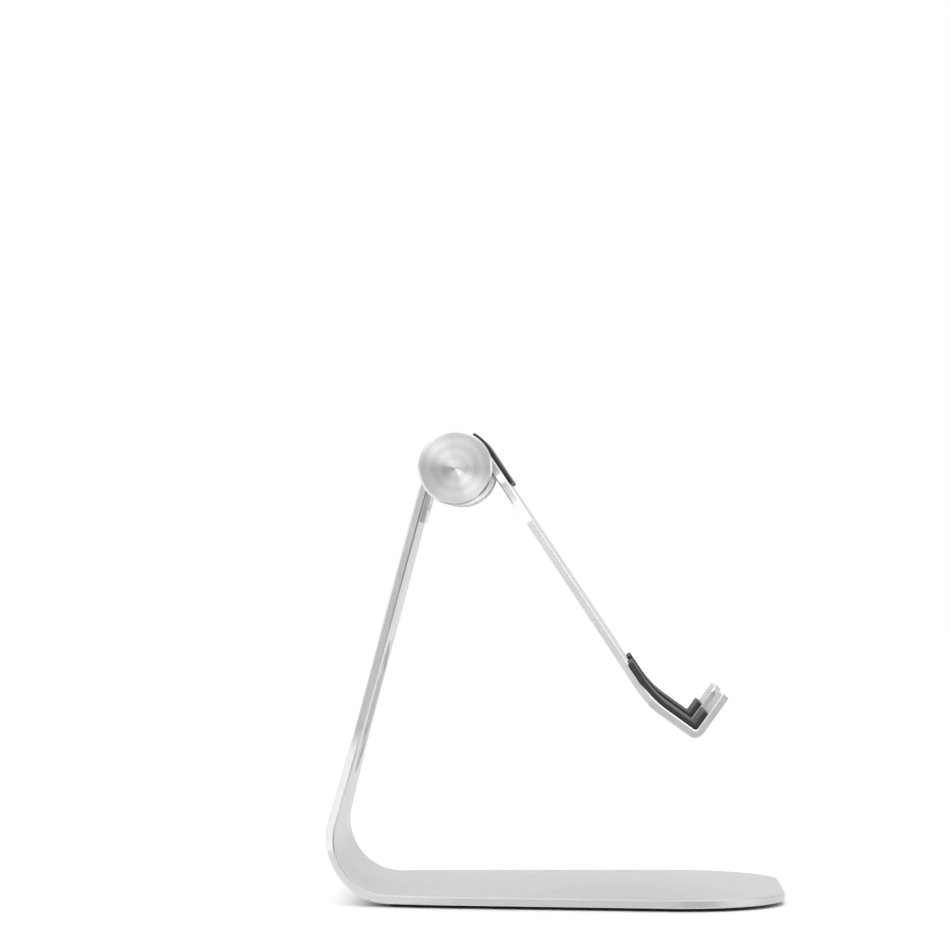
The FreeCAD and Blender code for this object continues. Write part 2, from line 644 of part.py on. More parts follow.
def make_drive_pin():
    """The pin through the left knuckle and the bolt, so that the bolt turns with the tray."""
    pin = DOCUMENT.addObject("Part::Cylinder", "drive_pin")
    pin.setExpression("Radius", "Sheet.pin_radius")
    pin.setExpression("Height", "Sheet.pin_length")
    angle = worth("Sheet.tray_drop")
    lying = FreeCAD.Rotation(FreeCAD.Vector(0, 1, 0), 90 + angle)
    pin.Placement = FreeCAD.Placement(FreeCAD.Vector(), lying)
    half = "Sheet.pin_length / 2"
    pin.setExpression("Placement.Base.x", f"Sheet.hinge_x - {half} * cos(Sheet.tray_drop)")
    pin.setExpression("Placement.Base.y", "Sheet.pin_y")
    pin.setExpression("Placement.Base.z", f"Sheet.hinge_z + {half} * sin(Sheet.tray_drop)")
    pin.setExpression("Placement.Rotation.Angle", "90 + Sheet.tray_drop")
    SUBPARTS.append(pin)


def make_outer_knuckle(name, side, well_floor):
    """A knuckle of the tray: flat seat for the tray, bore for the bolt and a well at its end."""
    body = new_body(name)
    tube(body, f"{name}_barrel", "Sheet.barrel_radius", None, f"{side} * Sheet.outer_start",
         f"{side} * Sheet.outer_end")
    seat = new_sketch(body, f"{name}_seat", "XZ_Plane",
                      shift=("0", "0", f"{-side} * (Sheet.outer_start + Sheet.outer_end) / 2"))
    draw_polygon(seat, [
        ("Sheet.tray_top", "Sheet.tray_offset"),
        (f"Sheet.barrel_radius + {PAST}", "Sheet.tray_offset"),
        (f"Sheet.barrel_radius + {PAST}", f"Sheet.barrel_radius + {PAST}"),
        ("Sheet.tray_top", f"Sheet.barrel_radius + {PAST}"),
    ])
    extrude(body, "Pocket", seat, f"Sheet.outer_end - Sheet.outer_start + {PAST}")
    bore(body, f"{name}_bore", "Sheet.outer_bore_radius", f"{side} * Sheet.centre_half",
         f"{side} * (Sheet.outer_end + {PAST})")
    bore(body, f"{name}_well", "Sheet.well_radius", f"{side} * {well_floor}",
         f"{side} * Sheet.outer_end")
    taps = new_sketch(body, f"{name}_tapped_holes", "XY_Plane",
                      shift=("0", "0", "Sheet.tray_offset"))
    for place in TRAY_SCREW_PLACES:
        if place * side > 0:
            draw_circle(taps, "Sheet.screw_hole_radius", "Sheet.tray_screw_place", str(place))
    depth = "(Sheet.tray_screw_length - Sheet.plate_thickness + Sheet.tap_play)"
    extrude(body, "Pocket", taps, f"2 * {depth}")
    if side * worth("Sheet.pin_y") > 0:
        across = new_sketch(body, f"{name}_pin_hole", "YZ_Plane")
        draw_circle(across, "Sheet.pin_radius", "Sheet.pin_y", "0")
        extrude(body, "Pocket", across, "4 * Sheet.barrel_radius")
    place_with_tray(body)


def make_thrust_washers():
    """Thin plastic washers between the middle knuckle and the outer ones."""
    for name, side in (("left_thrust_washer", -1), ("right_thrust_washer", 1)):
        body = new_body(name)
        tube(body, f"{name}_ring", "Sheet.washer_radius", "Sheet.outer_bore_radius",
             f"{side} * ({WASHER_MIDDLE} - Sheet.washer_thickness / 2)",
             f"{side} * ({WASHER_MIDDLE} + Sheet.washer_thickness / 2)")
        place_with_tray(body)


def make_spring_stack():
    """A flat washer, two disc springs cup to cup and a lock nut, in the right knuckle's well."""
    washer = new_body("spring_washer")
    tube(washer, "spring_washer_ring", "Sheet.spring_radius", "Sheet.outer_bore_radius",
         "Sheet.nut_seat", SPRING_START)
    place_with_tray(washer)

    springs = new_body("disc_springs")
    section = new_sketch(springs, "disc_sections", "XY_Plane")
    hub = "Sheet.outer_bore_radius"
    rim = "Sheet.spring_radius"
    first = SPRING_START
    second = f"({SPRING_START} + {SPRING_HEIGHT} + Sheet.spring_gap)"
    draw_polygon(section, [
        (hub, f"{first} + Sheet.spring_cone"),
        (rim, first),
        (rim, f"{first} + Sheet.spring_thickness"),
        (hub, f"{first} + {SPRING_HEIGHT}"),
    ])
    draw_polygon(section, [
        (hub, second),
        (rim, f"{second} + Sheet.spring_cone"),
        (rim, f"{second} + {SPRING_HEIGHT}"),
        (hub, f"{second} + Sheet.spring_thickness"),
    ])
    revolve(springs, section, "Y_Axis")
    place_with_tray(springs)

    nut = new_body("lock_nut")
    outline = new_sketch(nut, "nut_outline", "XZ_Plane",
                         shift=("0", "0", f"-({NUT_START} + Sheet.nut_thickness / 2)"))
    corner = "(Sheet.nut_flats / 2 / cos(30))"
    draw_polygon(outline, [
        (f"{corner} * cos({angle})", f"{corner} * sin({angle})") for angle in range(0, 360, 60)
    ])
    extrude(nut, "Pad", outline, "Sheet.nut_thickness")
    bore(nut, "nut_thread", "Sheet.nut_bore_radius", "0", "Sheet.outer_end")
    place_with_tray(nut)


def make_caps():
    """Turned end caps, each with a ring that clips into the well behind it."""
    for name, side in (("left_cap", -1), ("right_cap", 1)):
        body = new_body(name)
        face_y = side * worth("Sheet.outer_end + Sheet.cap_thickness")
        tube(body, f"{name}_disc", "Sheet.cap_radius", None, f"{side} * Sheet.outer_end",
             f"{side} * (Sheet.outer_end + Sheet.cap_thickness)")
        soften(body, "Chamfer", f"{name}_rim", round_edges_at(body.Tip.Shape, face_y),
               "Sheet.cap_chamfer")
        tube(body, f"{name}_spigot", "Sheet.spigot_radius", "Sheet.spigot_bore",
             f"{side} * (Sheet.outer_end - Sheet.spigot_length)",
             f"{side} * (Sheet.outer_end + Sheet.cap_thickness / 2)")
        place_with_tray(body)


# ---------------------------------------------------------------- tray


def lower_point(along, out):
    """A point of the tray below its knee, as expressions of the tray's X and Z.

    along runs from the knee of the tray's back down to the hooks' corner, and out is the distance
    in front of the tray's back.
    """
    across = (f"Sheet.knee_distance + ({along}) * cos(Sheet.knee_turn)"
              f" - ({out}) * sin(Sheet.knee_turn)")
    up = (f"Sheet.tray_offset + ({along}) * sin(Sheet.knee_turn)"
          f" + ({out}) * cos(Sheet.knee_turn)")
    return across, up


def knee_point(depth):
    """The knee's sharp corner, at a depth in front of the tray's back."""
    across = f"Sheet.knee_distance - ({depth}) * tan(Sheet.knee_turn / 2)"
    return across, f"Sheet.tray_offset + ({depth})"


def spot(point, y=0.0):
    """A point of the tray's side view as a vector."""
    return FreeCAD.Vector(worth(point[0]), y, worth(point[1]))


def make_tray_plate():
    """The tray: one plate with a knee, two hooks and a notched upper end."""
    body = new_body("tray_plate")
    bend_tray(body)
    cut_tray_outline(body)
    cut_hooks(body)
    soften(body, "Chamfer", "tray_bright_rims", rim_edges(body.Tip.Shape), "Sheet.rim_chamfer")
    screws = new_sketch(body, "tray_screw_holes", "XY_Plane", shift=("0", "0", TRAY_FRONT))
    for place in TRAY_SCREW_PLACES:
        draw_circle(screws, "Sheet.screw_hole_radius", "Sheet.tray_screw_place", str(place))
    make_countersunk_holes(body, screws, reverse=False)
    place_with_tray(body)


def bend_tray(body):
    """The tray's side view, full width, with its bends."""
    thickness = "Sheet.plate_thickness"
    back_knee = knee_point("0")
    front_knee = knee_point(thickness)
    outer_corner = lower_point("Sheet.lower_length", "0")
    inner_corner = lower_point(f"Sheet.lower_length - {thickness}", thickness)
    side = new_sketch(body, "tray_side", "XZ_Plane")
    draw_polygon(side, [
        ("Sheet.tray_top", "Sheet.tray_offset"),
        back_knee,
        outer_corner,
        lower_point("Sheet.lower_length", "Sheet.hook_height"),
        lower_point(f"Sheet.lower_length - {thickness}", "Sheet.hook_height"),
        inner_corner,
        front_knee,
        ("Sheet.tray_top", TRAY_FRONT),
    ])
    extrude(body, "Pad", side, "2 * Sheet.tray_foot_half")

    along = FreeCAD.Vector(0, 1, 0)
    bends = (
        ("knee_inside", front_knee, "Sheet.knee_radius"),
        ("knee_outside", back_knee, f"Sheet.knee_radius + {thickness}"),
        ("hooks_inside", inner_corner, "Sheet.hook_inside_radius"),
        ("hooks_outside", outer_corner, f"Sheet.hook_inside_radius + {thickness}"),
    )
    for name, point, radius in bends:
        soften(body, "Fillet", name, edges_at(body.Tip.Shape, along, [spot(point)]), radius)


def cut_tray_outline(body):
    """The tray's outline seen from its front, with the notch for the middle knuckle."""
    above = f"Sheet.tray_top - {PAST}"
    below = f"Sheet.knee_distance + Sheet.lower_length + {PAST}"
    flank = [
        (above, "Sheet.tray_top_half"),
        ("Sheet.tray_neck", "Sheet.tray_top_half"),
        ("Sheet.tray_shoulder", "Sheet.tray_shoulder_half"),
        ("Sheet.knee_distance", "Sheet.tray_knee_half"),
        (below, "Sheet.tray_foot_half"),
        (below, OUTSIDE),
        (above, OUTSIDE),
    ]
    plan = new_sketch(body, "tray_outline", "XY_Plane")
    draw_polygon(plan, flank)
    draw_polygon(plan, [(across, f"-({up})") for across, up in flank])
    draw_polygon(plan, [
        (above, "-Sheet.tray_notch_half"),
        ("Sheet.tray_notch_end", "-Sheet.tray_notch_half"),
        ("Sheet.tray_notch_end", "Sheet.tray_notch_half"),
        (above, "Sheet.tray_notch_half"),
    ])
    extrude(body, "Pocket", plan, CUTTER)

    outwards = FreeCAD.Vector(0, 0, 1)
    for place, half in (("tray_neck", "tray_top_half"), ("tray_shoulder", "tray_shoulder_half")):
        corners = [FreeCAD.Vector(worth(f"Sheet.{place}"), way * worth(f"Sheet.{half}"), 0)
                   for way in (-1, 1)]
        soften(body, "Fillet", f"{place}_blend",
               edges_at(body.Tip.Shape, outwards, corners), f"Sheet.{place}_radius")


def cut_hooks(body):
    """The gap that leaves two hooks, and the hooks' round corners."""
    gap = new_sketch(body, "hook_gap", "XZ_Plane")
    draw_polygon(gap, [
        lower_point("Sheet.hook_gap_floor", f"-{PAST}"),
        lower_point(f"Sheet.lower_length + {PAST}", f"-{PAST}"),
        lower_point(f"Sheet.lower_length + {PAST}", f"Sheet.hook_height + {PAST}"),
        lower_point("Sheet.hook_gap_floor", f"Sheet.hook_height + {PAST}"),
    ])
    extrude(body, "Pocket", gap, "2 * Sheet.hook_gap_half")

    turn = math.radians(worth("Sheet.knee_turn"))
    down_lower = FreeCAD.Vector(math.cos(turn), 0, math.sin(turn))
    up_hook = FreeCAD.Vector(-math.sin(turn), 0, math.cos(turn))
    tip_height = spot(lower_point("Sheet.lower_length", "Sheet.hook_height")).dot(up_hook)
    soften(body, "Fillet", "hook_tips",
           edges_in_plane(body.Tip.Shape, down_lower, tip_height, up_hook),
           "Sheet.hook_tip_radius")
    gap_half = worth("Sheet.hook_gap_half")
    gap_corners = [spot(lower_point("Sheet.hook_gap_floor", "0"), way * gap_half)
                   for way in (-1, 1)]
    soften(body, "Fillet", "hook_gap_corners",
           edges_at(body.Tip.Shape, up_hook, gap_corners), "Sheet.hook_gap_radius")


def make_upper_pad():
    """The rubber strip over the tray's upper end, wrapped part of the way over the hinge."""
    body = new_body("upper_pad")
    turn = "Sheet.upper_pad_turn"
    inner = TRAY_FRONT
    outer = f"({TRAY_FRONT} + Sheet.upper_pad_thickness)"

    def corner(radius):
        return f"-{radius} * tan({turn} / 2)", radius

    def tail(radius):
        across = f"-{radius} * sin({turn}) - Sheet.upper_pad_tail * cos({turn})"
        return across, f"{radius} * cos({turn}) - Sheet.upper_pad_tail * sin({turn})"

    side = new_sketch(body, "upper_pad_side", "XZ_Plane")
    draw_polygon(side, [
        ("Sheet.upper_pad_end", inner),
        ("Sheet.upper_pad_end", outer),
        corner(outer),
        tail(outer),
        tail(inner),
        corner(inner),
    ])
    extrude(body, "Pad", side, "2 * Sheet.upper_pad_half")
    along = FreeCAD.Vector(0, 1, 0)
    soften(body, "Fillet", "wrap_inside",
           edges_at(body.Tip.Shape, along, [spot(corner(inner))]), inner)
    soften(body, "Fillet", "wrap_outside",
           edges_at(body.Tip.Shape, along, [spot(corner(outer))]), outer)
    place_with_tray(body)


def make_rest_pads():
    """Two rubber strips in the knee, each turned up a little way against its hook."""
    thickness = "Sheet.plate_thickness"
    rubber = f"({thickness} + Sheet.rest_pad_thickness)"
    lower = f"(Sheet.lower_length - {thickness})"
    for name, side in (("left_rest_pad", -1), ("right_rest_pad", 1)):
        body = new_body(name)
        profile = new_sketch(body, f"{name}_side", "XZ_Plane")
        outer_corner = lower_point(lower, thickness)
        inner_corner = lower_point(f"{lower} - Sheet.rest_pad_thickness", rubber)
        draw_polygon(profile, [
            ("Sheet.rest_pad_start", f"Sheet.tray_offset + {thickness}"),
            knee_point(thickness),
            outer_corner,
            lower_point(lower, f"{rubber} + Sheet.rest_pad_upstand"),
            lower_point(f"{lower} - Sheet.rest_pad_thickness",
                        f"{rubber} + Sheet.rest_pad_upstand"),
            inner_corner,
            knee_point(rubber),
            ("Sheet.rest_pad_start", f"Sheet.tray_offset + {rubber}"),
        ])
        extrude(body, "Pad", profile, "Sheet.rest_pad_width")
        along = FreeCAD.Vector(0, 1, 0)
        bends = (
            ("knee_under", knee_point(thickness), "Sheet.knee_radius"),
            ("knee_over", knee_point(rubber), "Sheet.knee_radius - Sheet.rest_pad_thickness"),
            ("corner", outer_corner, "Sheet.rest_pad_corner"),
        )
        for bend, point, radius in bends:
            edges = edges_at(body.Tip.Shape, along, [spot(point)])
            soften(body, "Fillet", f"{name}_{bend}", edges, radius)
        place_with_tray(body, f"{side} * Sheet.rest_pad_middle")


# ---------------------------------------------------------------- screws


def make_screw(name, length):
    """A countersunk screw with a hexagon socket, its head's face at zero and its shank below."""
    head = DOCUMENT.addObject("Part::Cone", f"{name}_head")
    head.setExpression("Radius1", "Sheet.screw_radius")
    head.setExpression("Radius2", "Sheet.screw_head_radius")
    head.setExpression("Height", SCREW_HEAD_DEPTH)
    head.setExpression("Placement.Base.z", f"-{SCREW_HEAD_DEPTH}")
    shank = DOCUMENT.addObject("Part::Cylinder", f"{name}_shank")
    shank.setExpression("Radius", "Sheet.screw_radius")
    shank.setExpression("Height", f"{length} - {SCREW_HEAD_DEPTH}")
    shank.setExpression("Placement.Base.z", f"-({length})")
    blank = DOCUMENT.addObject("Part::Fuse", f"{name}_blank")
    blank.Base = head
    blank.Tool = shank
    socket = DOCUMENT.addObject("Part::Prism", f"{name}_socket")
    socket.Polygon = SOCKET_SIDES
    socket.setExpression("Circumradius", "Sheet.screw_socket_radius")
    socket.setExpression("Height", f"Sheet.screw_socket_depth + {PAST}")
    socket.setExpression("Placement.Base.z", "-Sheet.screw_socket_depth")
    screw = DOCUMENT.addObject("Part::Cut", name)
    screw.Base = blank
    screw.Tool = socket
    return screw


def make_screw_group(label, length, places, pointing, turn):
    """Several like screws in one node, placed in a frame that is turned about the hinge axis."""
    screws = []
    for number, (across, y, up) in enumerate(places, start=1):
        screw = make_screw(f"{label}_{number}", length)
        screw.Placement = FreeCAD.Placement(FreeCAD.Vector(), pointing)
        screw.setExpression("Placement.Base.x", across)
        screw.setExpression("Placement.Base.y", y)
        screw.setExpression("Placement.Base.z", up)
        screws.append(screw)
    group = DOCUMENT.addObject("Part::Compound", label)
    group.Links = screws
    place_at_hinge(group, turn)
    SUBPARTS.append(group)


def make_screws():
    """The screws of the tray, and those of the upright."""
    tray_places = [("Sheet.tray_screw_place", str(place), TRAY_FRONT)
                   for place in TRAY_SCREW_PLACES]
    make_screw_group("tray_screws", "Sheet.tray_screw_length", tray_places,
                     FreeCAD.Rotation(), "Sheet.tray_drop")
    upright_places = [(f"-{UPRIGHT_OUTER}", f"{step} * Sheet.upright_screw_pitch",
                       "-Sheet.upright_screw_drop") for step in UPRIGHT_SCREW_STEPS]
    make_screw_group("upright_screws", "Sheet.upright_screw_length", upright_places,
                     FreeCAD.Rotation(FreeCAD.Vector(0, 1, 0), -90), "Sheet.lean")


# ---------------------------------------------------------------- checks and files


def check_document():
    """Stop if a feature failed, a cut removed nothing or a piece has no sound shape."""
    for thing in DOCUMENT.Objects:
        if "Invalid" in thing.State or "Error" in thing.State:
            raise RuntimeError(f"{thing.Name} failed: {thing.State}")
        if thing.TypeId in ("PartDesign::Pocket", "PartDesign::Hole"):
            if thing.Shape.Volume > thing.BaseFeature.Shape.Volume - 0.01:
                raise RuntimeError(f"{thing.Name} cuts nothing")
    for thing in SUBPARTS:
        if thing.Shape.isNull() or not thing.Shape.isValid():
            raise RuntimeError(f"{thing.Label} has no sound shape")


def write_parts():
    """Write each sub-part to its own file."""
    os.makedirs("parts", exist_ok=True)
    for thing in SUBPARTS:
        thing.Shape.exportStep(os.path.join("parts", f"{thing.Label}.step"))
        box = thing.Shape.BoundBox
        print(f"{thing.Label:20s} solids {len(thing.Shape.Solids)}"
              f" volume {thing.Shape.Volume:9.1f}"
              f" x {box.XMin:7.2f} {box.XMax:7.2f}"
              f" y {box.YMin:7.2f} {box.YMax:7.2f}"
              f" z {box.ZMin:7.2f} {box.ZMax:7.2f}")


DOCUMENT = FreeCAD.newDocument("tablet_stand")
SHEET = make_sheet(DOCUMENT)
SUBPARTS = []

make_base_frame()
make_foot_pad()
make_base_knuckle()
make_friction_bushes()
make_hinge_shaft()
make_drive_pin()
make_outer_knuckle("left_knuckle", -1, "Sheet.head_seat")
make_outer_knuckle("right_knuckle", 1, "Sheet.nut_seat")
make_thrust_washers()
make_spring_stack()
make_caps()
make_tray_plate()
make_upper_pad()
make_rest_pads()
make_screws()
DOCUMENT.recompute()
check_document()
write_parts()
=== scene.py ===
import json
import math

import bmesh
import bpy
from mathutils import Matrix, Vector


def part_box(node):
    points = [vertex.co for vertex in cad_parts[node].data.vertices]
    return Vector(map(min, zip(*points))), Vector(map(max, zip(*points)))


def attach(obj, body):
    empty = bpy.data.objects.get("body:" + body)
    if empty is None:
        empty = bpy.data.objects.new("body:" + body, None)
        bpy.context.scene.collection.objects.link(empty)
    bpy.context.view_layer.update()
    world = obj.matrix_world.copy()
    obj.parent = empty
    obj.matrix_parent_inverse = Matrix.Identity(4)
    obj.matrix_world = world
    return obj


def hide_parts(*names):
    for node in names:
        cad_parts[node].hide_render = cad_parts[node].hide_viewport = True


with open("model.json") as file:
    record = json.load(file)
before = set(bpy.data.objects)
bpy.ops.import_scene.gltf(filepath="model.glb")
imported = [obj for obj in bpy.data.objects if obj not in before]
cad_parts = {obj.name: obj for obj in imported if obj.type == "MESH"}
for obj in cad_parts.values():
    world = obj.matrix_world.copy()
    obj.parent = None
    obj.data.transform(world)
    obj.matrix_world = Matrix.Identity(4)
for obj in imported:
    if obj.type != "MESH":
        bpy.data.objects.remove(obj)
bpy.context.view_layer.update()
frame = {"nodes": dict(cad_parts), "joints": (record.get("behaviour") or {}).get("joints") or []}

# The looks of the tablet stand: the CAD parts get their finishes, the rubber pads and the turned
# end caps are built in detail, and a white studio with soft lights stands round them.
# Lengths are in metres, in the frame of the CAD parts: +X is the side the tablet faces, +Z is up.

MM = 0.001
HINGE = Vector(frame["joints"][0]["pos_m"])

SAME_PLACE = 0.001 * MM  # corners closer than this are one corner
SMOOTH_BELOW = math.radians(35)  # edges that turn less than this are shaded smooth
CHAMFER_TURN = (30, 60)  # degrees between a chamfer and the broad side it meets
MOST_SIDEWAYS = 0.02  # Y part of the normal of a face that runs along Y
WAVE_RADIANS = 20  # that a wave texture of scale 1 turns through in one unit


# ---------------------------------------------------------------- node trees


def node(tree, kind, **settings):
    """A new node; settings are its own properties, and its inputs where the name starts with in_."""
    made = tree.nodes.new(kind)
    for name, setting in settings.items():
        if name.startswith("in_"):
            made.inputs[name[3:].replace("_", " ")].default_value = setting
        else:
            setattr(made, name, setting)
    return made


def new_material(name, **constants):
    """A material and its Principled shader, with the shader's constant inputs set on its sockets."""
    material = bpy.data.materials.new(name)
    material.use_nodes = True
    shader = material.node_tree.nodes["Principled BSDF"]
    for socket, constant in constants.items():
        shader.inputs[socket.replace("_", " ")].default_value = constant
    return material, material.node_tree, shader


def grain(tree, size, detail=2.0):
    """A noise over the object's own coordinates whose spots are about size across."""
    place = node(tree, "ShaderNodeTexCoord")
    noise = node(tree, "ShaderNodeTexNoise", in_Scale=1 / size, in_Detail=detail)
    tree.links.new(place.outputs["Object"], noise.inputs["Vector"])
    return noise.outputs["Fac"]


def ramp(tree, source, low, high, start=0.3, end=0.7):
    """Spread a 0 to 1 pattern between two numbers."""
    spread = node(tree, "ShaderNodeMapRange", clamp=True)
    for name, number in (("From Min", start), ("From Max", end), ("To Min", low), ("To Max", high)):
        spread.inputs[name].default_value = number
    tree.links.new(source, spread.inputs["Value"])
    return spread.outputs["Result"]


def tint(tree, source, first, second):
    """Mix two greys or colours by a pattern."""
    mix = node(tree, "ShaderNodeMix", data_type="RGBA")
    mix.inputs[6].default_value = (*first, 1.0)
    mix.inputs[7].default_value = (*second, 1.0)
    tree.links.new(source, mix.inputs[0])
    return mix.outputs[2]


def bump(tree, height, depth, strength=1.0, below=None):
    """A bump of a real depth, on top of another one if given."""
    made = node(tree, "ShaderNodeBump", in_Strength=strength, in_Distance=depth)
    tree.links.new(height, made.inputs["Height"])
    if below is not None:
        tree.links.new(below, made.inputs["Normal"])
    return made.outputs["Normal"]


def grey(level):
    """A neutral colour with a trace of warmth taken out."""
    return (level, level, level * 1.004)


# ---------------------------------------------------------------- finishes


def satin_aluminium():
    """Bead-blasted and anodised sheet: fine even grain, very faint clouds."""
    material, tree, shader = new_material("satin_aluminium", Metallic=1.0)
    clouds = grain(tree, 9 * MM, detail=3.0)
    beads = grain(tree, 0.22 * MM, detail=3.0)
    tree.links.new(tint(tree, ramp(tree, beads, 0.0, 1.0), grey(0.49), grey(0.55)),
                   shader.inputs["Base Color"])
    tree.links.new(ramp(tree, clouds, 0.36, 0.42), shader.inputs["Roughness"])
    tree.links.new(bump(tree, beads, 0.02 * MM, 0.3), shader.inputs["Normal"])
    return material


def bright_cut():
    """The diamond-cut chamfers: nearly mirror bright, with faint cutter marks."""
    material, tree, shader = new_material("bright_cut", Metallic=1.0)
    marks = grain(tree, 0.6 * MM, detail=4.0)
    tree.links.new(tint(tree, ramp(tree, marks, 0.0, 1.0), grey(0.74), grey(0.80)),
                   shader.inputs["Base Color"])
    tree.links.new(ramp(tree, marks, 0.2, 0.3), shader.inputs["Roughness"])
    return material


def turned_rings(tree, per_radian, depth):
    """Lathe lines round the hinge axis, one every 2 pi times per_radian along it."""
    place = node(tree, "ShaderNodeTexCoord")
    wave = node(tree, "ShaderNodeTexWave", wave_type="BANDS", bands_direction="Y",
                in_Scale=1 / per_radian / WAVE_RADIANS, in_Distortion=0.6, in_Detail=2.0)
    tree.links.new(place.outputs["Object"], wave.inputs["Vector"])
    return bump(tree, wave.outputs["Fac"], depth, 0.4)


def barrel_aluminium():
    """The turned and blasted knuckles of the hinge."""
    material, tree, shader = new_material("barrel_aluminium", Metallic=1.0)
    beads = grain(tree, 0.2 * MM, detail=3.0)
    tree.links.new(tint(tree, ramp(tree, beads, 0.0, 1.0), grey(0.56), grey(0.63)),
                   shader.inputs["Base Color"])
    tree.links.new(ramp(tree, grain(tree, 5 * MM), 0.3, 0.38), shader.inputs["Roughness"])
    tree.links.new(turned_rings(tree, 0.35 * MM, 0.012 * MM), shader.inputs["Normal"])
    return material


def spun_face():
    """The face of a cap: concentric lines, which throw a fan of light and dark."""
    material, tree, shader = new_material("spun_cap", Metallic=1.0, Anisotropic=0.97,
                                          Anisotropic_Rotation=0.25)
    place = node(tree, "ShaderNodeTexCoord")
    centred = node(tree, "ShaderNodeVectorMath", operation="SUBTRACT")
    centred.inputs[1].default_value = HINGE
    tree.links.new(place.outputs["Object"], centred.inputs[0])
    rings = node(tree, "ShaderNodeTexWave", wave_type="RINGS", rings_direction="Y",
                 in_Scale=1 / (0.5 * MM) / 20, in_Distortion=0.0)
    tree.links.new(centred.outputs["Vector"], rings.inputs["Vector"])
    tree.links.new(tint(tree, rings.outputs["Fac"], grey(0.62), grey(0.68)),
                   shader.inputs["Base Color"])
    tree.links.new(ramp(tree, grain(tree, 4 * MM), 0.25, 0.28), shader.inputs["Roughness"])
    tree.links.new(bump(tree, rings.outputs["Fac"], 0.002 * MM, 0.2), shader.inputs["Normal"])
    tangent = node(tree, "ShaderNodeTangent", direction_type="RADIAL", axis="Y")
    tree.links.new(tangent.outputs["Tangent"], shader.inputs["Tangent"])
    return material


def painted_dark_bevel():
    """The turned bevel round a cap, and the cap's side and ring: metal painted dark grey, a painted
    dark reflection that makes the bevel look dark beside the bright face.
    """
    material, tree, shader = new_material("painted_dark_bevel", Metallic=1.0)
    marks = grain(tree, 0.4 * MM, detail=3.0)
    # Painted dark reflection: the base colour is held near black so the bevel shows dark beside the
    # bright face.
    tree.links.new(tint(tree, ramp(tree, marks, 0.0, 1.0), grey(0.13), grey(0.18)),
                   shader.inputs["Base Color"])
    tree.links.new(ramp(tree, marks, 0.25, 0.35), shader.inputs["Roughness"])
    return material


def black_rubber():
    """Matte silicone with a fine pebbled skin and faint lighter clouds of dust."""
    material, tree, shader = new_material("black_rubber", Specular_IOR_Level=0.35,
                                          Sheen_Weight=0.08, Sheen_Roughness=0.5)
    place = node(tree, "ShaderNodeTexCoord")
    pebbles = node(tree, "ShaderNodeTexVoronoi", feature="F1", in_Scale=1 / (0.45 * MM))
    tree.links.new(place.outputs["Object"], pebbles.inputs["Vector"])
    clouds = grain(tree, 3 * MM, detail=4.0)
    tree.links.new(tint(tree, ramp(tree, clouds, 0.0, 1.0), grey(0.014), grey(0.030)),
                   shader.inputs["Base Color"])
    tree.links.new(ramp(tree, clouds, 0.55, 0.72), shader.inputs["Roughness"])
    skin = bump(tree, pebbles.outputs["Distance"], 0.04 * MM, 0.5)
    tree.links.new(bump(tree, grain(tree, 0.12 * MM), 0.02 * MM, 0.4, skin),
                   shader.inputs["Normal"])
    return material


def turned_steel(name, dark, light):
    """Zinc-plated turned steel."""
    material, tree, shader = new_material(name, Metallic=1.0)
    blotches = grain(tree, 1.2 * MM, detail=4.0)
    tree.links.new(tint(tree, ramp(tree, blotches, 0.0, 1.0), grey(dark), grey(light)),
                   shader.inputs["Base Color"])
    tree.links.new(ramp(tree, blotches, 0.26, 0.4), shader.inputs["Roughness"])
    tree.links.new(turned_rings(tree, 0.25 * MM, 0.01 * MM), shader.inputs["Normal"])
    return material


def nylon():
    """Moulded dark nylon."""
    material, tree, shader = new_material("nylon", Specular_IOR_Level=0.4)
    mottle = grain(tree, 0.5 * MM, detail=3.0)
    tree.links.new(tint(tree, ramp(tree, mottle, 0.0, 1.0), grey(0.05), grey(0.075)),
                   shader.inputs["Base Color"])
    tree.links.new(ramp(tree, mottle, 0.5, 0.65), shader.inputs["Roughness"])
    tree.links.new(bump(tree, mottle, 0.01 * MM, 0.4), shader.inputs["Normal"])
    return material


FINISHES = {
    "satin": satin_aluminium(),
    "bright": bright_cut(),
    "barrel": barrel_aluminium(),
    "spun": spun_face(),
    "painted_dark_bevel": painted_dark_bevel(),
    "rubber": black_rubber(),
    "steel": turned_steel("steel", 0.5, 0.62),
    "screw": turned_steel("screw_steel", 0.42, 0.56),
    "nylon": nylon(),
}


def paint(thing, *finishes):
    """Give an object these finishes, in this order."""
    thing.data.materials.clear()
    for finish in finishes:
        thing.data.materials.append(FINISHES[finish])


# ---------------------------------------------------------------- meshes


def welded(mesh):
    """A bmesh of a mesh with its split corners joined again; each face knows its old number."""
    work = bmesh.new()
    work.from_mesh(mesh)
    number = work.faces.layers.int.new("number")
    for face in work.faces:
        face[number] = face.index
    bmesh.ops.remove_doubles(work, verts=work.verts, dist=SAME_PLACE)
    work.faces.index_update()
    return work, number


def smooth_regions(work, largest_turn=math.radians(25)):
    """Lists of faces that join smoothly."""
    regions, found = [], set()
    for seed in work.faces:
        if seed in found:
            continue
        region, waiting = [], [seed]
        found.add(seed)
        while waiting:
            face = waiting.pop()
            region.append(face)
            near = {other for edge in face.edges for other in edge.link_faces} - found
            for other in near:
                if face.normal.angle(other.normal, math.pi) < largest_turn:
                    found.add(other)
                    waiting.append(other)
        regions.append(region)
    return regions


def is_skin(region, least_area=60 * MM * MM):
    """Whether a region is one of the broad sides of a plate bent about the Y direction."""
    area = sum(face.calc_area() for face in region)
    return area > least_area and all(abs(face.normal.y) < MOST_SIDEWAYS for face in region)


def leans_on(region, skin_faces):
    """Whether a region meets a broad side at about 45 degrees, as a chamfer does."""
    for face in region:
        for edge in face.edges:
            for other in edge.link_faces:
                if other in skin_faces:
                    turn = math.degrees(face.normal.angle(other.normal, 0))
                    if CHAMFER_TURN[0] < turn < CHAMFER_TURN[1]:
                        return True
    return False


